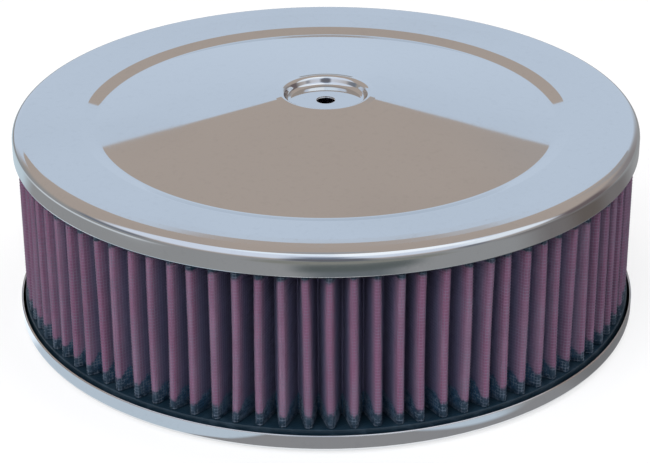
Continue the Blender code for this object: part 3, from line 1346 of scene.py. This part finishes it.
    def _rings(self) -> list[bpy.types.Object]:
        """Builds the two cast rings.

        Returns:
            The rings, in place of their CAD nodes.
        """
        inner = self.path.tip_radius - self.path.depth - self.ring_overhang
        outer = self.path.tip_radius + self.ring_overhang
        low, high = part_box("lower_end_ring")
        foot = [
            (inner, low.z),
            (outer - self.foot_chamfer, low.z),
            (outer, low.z + self.foot_chamfer),
            (outer, high.z),
            (inner, high.z),
        ]
        low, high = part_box("upper_end_ring")
        head = [
            (inner, low.z),
            (outer, low.z),
            (outer, high.z - self.head_chamfer),
            (outer - self.head_chamfer, high.z),
            (inner, high.z),
        ]
        foot_mesh = ring_mesh("foot_ring", foot, self.foot_edge)
        head_mesh = ring_mesh("head_ring", head, self.head_edge)
        return [
            self.dress(foot_mesh, self.compound, Slot.MOULDING, "lower_end_ring"),
            self.dress(head_mesh, self.compound, Slot.MOULDING, "upper_end_ring"),
        ]


def join_tubes(name: str, tubes: list[np.ndarray], closed: bool) -> bpy.types.Mesh:
    """One mesh of many equal tubes.

    Args:
        name: The mesh's name.
        tubes: The points of each tube, as rings along it.
        closed: Whether the tubes are closed loops.

    Returns:
        The new mesh.
    """
    length, sides = tubes[0].shape[:2]
    index = np.arange(length * sides).reshape(length, sides)
    index = np.hstack([index, index[:, :1]])
    if closed:
        index = np.vstack([index, index[:1]])
    faces = np.stack([index[:-1, :-1], index[:-1, 1:], index[1:, 1:], index[1:, :-1]], -1).reshape(-1, 4)
    starts = np.arange(len(tubes))[:, None, None] * (length * sides)
    return face_mesh(name, np.concatenate(tubes).reshape(-1, 3), (faces[None] + starts).reshape(-1, 4))


@dataclass(frozen=True)
class SoftLamp:
    """One square soft lamp that points at the element."""

    name: str
    place: Place
    size: float
    power: float
    aim: Place = (0.0, 0.0, 0.05)

    def hang(self) -> None:
        """Hangs the lamp, out of sight of the camera and of reflections."""
        data = bpy.data.lights.new(self.name, "AREA")
        data.shape = "SQUARE"
        data.size = self.size
        data.energy = self.power
        lamp = bpy.data.objects.new(self.name, data)
        bpy.context.scene.collection.objects.link(lamp)
        lamp.location = self.place
        way = Vector(self.aim) - Vector(self.place)
        lamp.rotation_euler = way.to_track_quat("-Z", "Y").to_euler()
        lamp.visible_glossy = False
        lamp.visible_camera = False


@dataclass
class Studio:
    """The floor, the surroundings that the chrome reflects, the lamps and the camera."""

    floor_radius: float = 9.0
    floor_hole: float = 1.0 * MM
    flag_hole: float = 179.3 * MM
    flag_height: float = 0.6 * MM
    card_sides: int = 96
    card_rings: int = 3
    lamps: tuple[SoftLamp, ...] = (
        SoftLamp("key", (-0.9, -1.5, 1.7), 1.6, 30.0),
        SoftLamp("top", (0.3, 0.2, 2.4), 2.2, 30.0),
    )
    lens: float = 117.83
    sensor: float = 36.0
    sight: float = 50.0
    camera_place: Place = (-0.0007, -1.1164, 0.5927)
    tilt: float = math.radians(90 - 26.30)
    roll: float = math.radians(-0.22)

    def build(self) -> None:
        """Builds the studio."""
        self._floor()
        self._surroundings()
        for lamp in self.lamps:
            lamp.hang()
        self._camera()
        bpy.context.scene.view_settings.view_transform = "Standard"

    def _card(self, name: str, hole: float, height: float, finish: Finish) -> bpy.types.Object:
        """A flat round card as wide as the floor, with a hole in its middle.

        Args:
            name: The card's name.
            hole: The hole's radius.
            height: Its height.
            finish: Its finish.

        Returns:
            The card.
        """
        angles = np.arange(self.card_sides) * math.tau / self.card_sides
        ring = np.stack([np.cos(angles), np.sin(angles), np.zeros_like(angles)], -1)
        radii = np.linspace(hole, self.floor_radius, self.card_rings)
        grid = ring[None] * radii[:, None, None] + np.array([0.0, 0.0, height])
        mesh = grid_mesh(name, grid, False, True)
        mesh.materials.append(finish.material())
        card = bpy.data.objects.new(name, mesh)
        bpy.context.scene.collection.objects.link(card)
        return card

    def _floor(self) -> None:
        """Lays the pale floor and the grey flag, which glows with painted reflections and a painted shadow
        that only the chrome sees.
        """
        self._card("floor", self.floor_hole, 0.0, PaleFloor())
        flag = self._card("flag", self.flag_hole, self.flag_height, GreyFlag())
        flag.visible_camera = False
        flag.visible_diffuse = False
        flag.visible_shadow = False
        flag.visible_transmission = False

    def _surroundings(self) -> None:
        """Puts the room round the part."""
        world = bpy.data.worlds.new("studio")
        bpy.context.scene.world = world
        world.use_nodes = True
        Room().paint(Graph(world.node_tree))

    def _camera(self) -> None:
        """Sets up the camera at the photograph's viewing angle."""
        data = bpy.data.cameras.new("camera")
        data.lens = self.lens
        data.sensor_width = self.sensor
        data.clip_end = self.sight
        camera = bpy.data.objects.new("camera", data)
        bpy.context.scene.collection.objects.link(camera)
        camera.location = self.camera_place
        camera.rotation_euler = Euler((self.tilt, 0.0, 0.0), "XYZ")
        camera.rotation_euler.rotate_axis("Z", self.roll)
        bpy.context.scene.camera = camera


def main() -> None:
    """Builds the part's pieces and the studio, in order."""
    logging.basicConfig(level=logging.INFO, format="%(name)s: %(message)s")
    chrome = ChromePlate()
    Lid(chrome).build()
    Base(chrome, GasketRubber()).build()
    Element(OiledGauze(), CoatedWire(), WireCloth(), MouldedCompound()).build()
    Studio().build()


if __name__ == "__main__":
    main()
